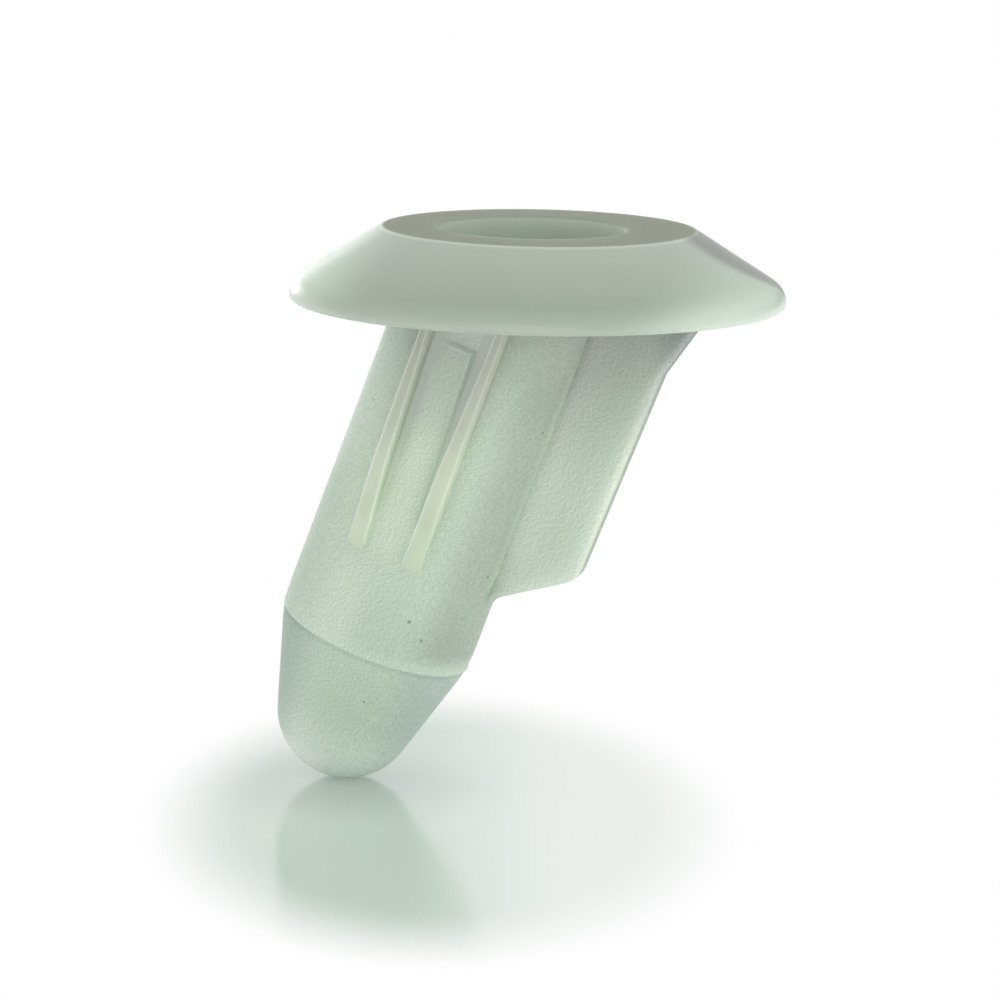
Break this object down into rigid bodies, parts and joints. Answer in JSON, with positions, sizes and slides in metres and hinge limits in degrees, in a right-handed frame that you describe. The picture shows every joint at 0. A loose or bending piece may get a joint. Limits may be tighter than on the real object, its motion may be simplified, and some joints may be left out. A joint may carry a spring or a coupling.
{
  "type": "tail light grommet",
  "caption": "Moulded grommet with a cone-edged round head and a hollow closed shank that leans from it, with wedge catches, side ribs and a fin, to hold a tail light's screw in a panel.",
  "frame": {"origin": "centre of the head's flat seat, the plane that meets the panel", "axes": "+Z out of the panel along the head's axis, +X from the head's centre to the fin; the shank leans to -X as it goes down; Y across the fin"},
  "size_m": [0.0207, 0.02, 0.0233],
  "materials": {
    "nylon": "natural milky nylon, fine moulding grain on the shank and fin, smooth head and ribs"
  },
  "bodies": {
    "root": {"grommet": "nylon"}
  },
  "joints": []
}
